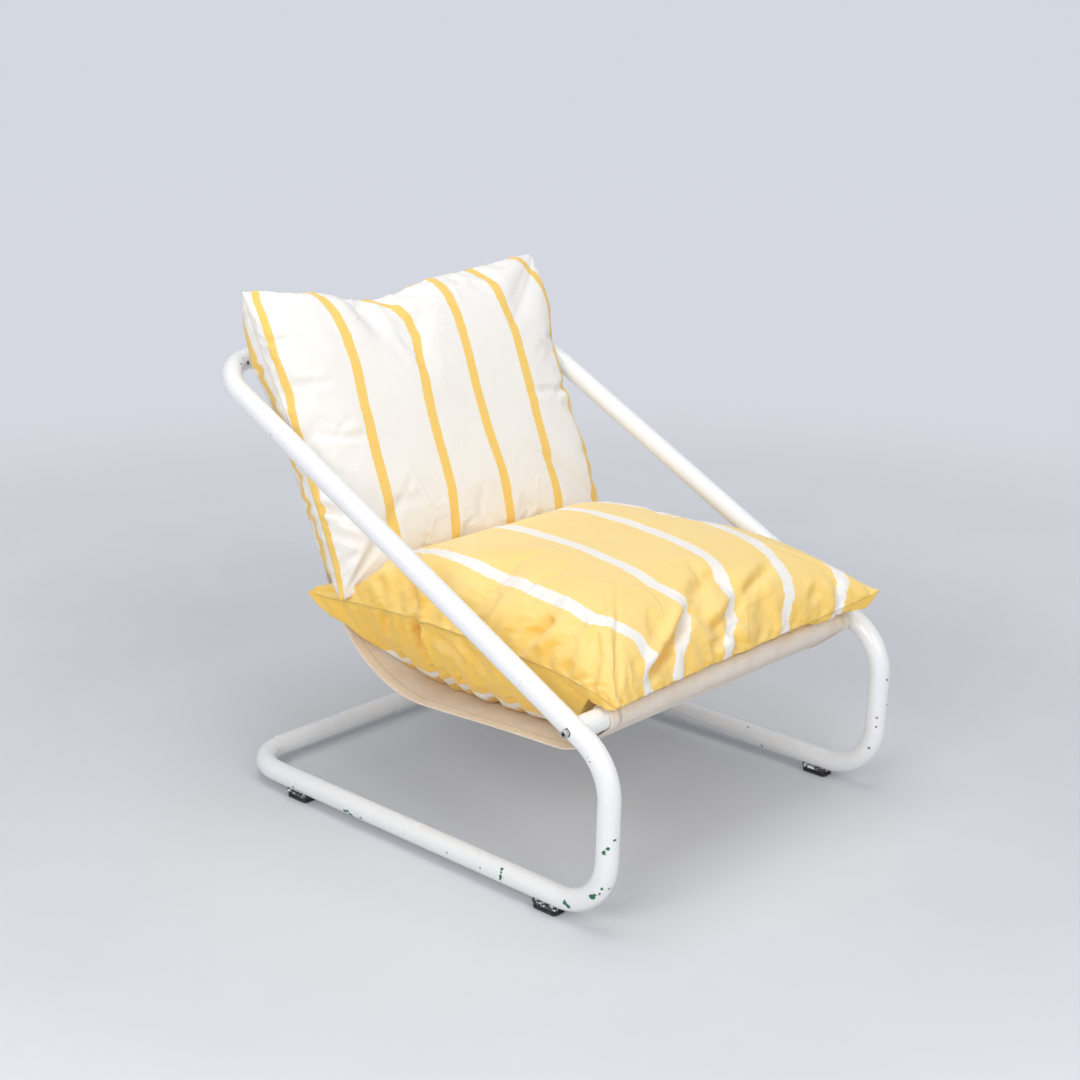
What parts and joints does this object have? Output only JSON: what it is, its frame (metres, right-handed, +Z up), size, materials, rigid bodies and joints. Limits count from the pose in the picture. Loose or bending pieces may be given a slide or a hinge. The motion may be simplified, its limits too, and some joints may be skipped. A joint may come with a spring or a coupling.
{
  "type": "cantilever lounge chair",
  "caption": "Low lounge chair: bent white tube frame with a canvas sling, a striped seat cushion and a striped back cushion, both zipped.",
  "frame": {"origin": "centre of the bounding box in plan, at the floor", "axes": "+Z up; the chair faces -Y, so +Y points to its back; +X points to the right in a view from the front"},
  "size_m": [0.638, 0.7799, 0.7201],
  "materials": {
    "frame_paint": "white gloss enamel over an older green coat, chipped in places",
    "inner_steel": "plain drawn steel",
    "bright_steel": "bright zinc plate",
    "foot_rubber": "matt black moulded rubber",
    "sling_canvas": "beige cotton canvas, hemmed",
    "seat_cotton": "yellow cotton with white stripes",
    "back_cotton": "white cotton with yellow stripes",
    "filling_wadding": "soft white fibre filling",
    "zip_tape": "woven tape with moulded teeth"
  },
  "bodies": {
    "chair": {"lower_frame": "frame_paint", "upper_frame": "frame_paint", "left_joint_spigot": "inner_steel", "right_joint_spigot": "inner_steel", "front_rail": "frame_paint", "left_rail_plug": "inner_steel", "right_rail_plug": "inner_steel", "left_rail_bolt": "bright_steel", "right_rail_bolt": "bright_steel", "foot_plates": "frame_paint", "front_left_foot": "foot_rubber", "front_right_foot": "foot_rubber", "rear_left_foot": "foot_rubber", "rear_right_foot": "foot_rubber", "foot_screws": "bright_steel", "sling": "sling_canvas", "seat_cover": "seat_cotton", "seat_filling": "filling_wadding", "seat_zip": "zip_tape", "back_cover": "back_cotton", "back_filling": "filling_wadding", "back_zip": "zip_tape"},
    "seat_zip_pull": {"seat_zip_slider": "bright_steel"},
    "back_zip_pull": {"back_zip_slider": "bright_steel"}
  },
  "joints": [
    {"name": "seat_zip_run", "type": "slide", "parent": "chair", "child": "seat_zip_pull", "axis": [1, 0, 0], "range_m": [0, 0.359]},
    {"name": "back_zip_run", "type": "slide", "parent": "chair", "child": "back_zip_pull", "axis": [1, 0, 0], "range_m": [0, 0.469]}
  ]
}
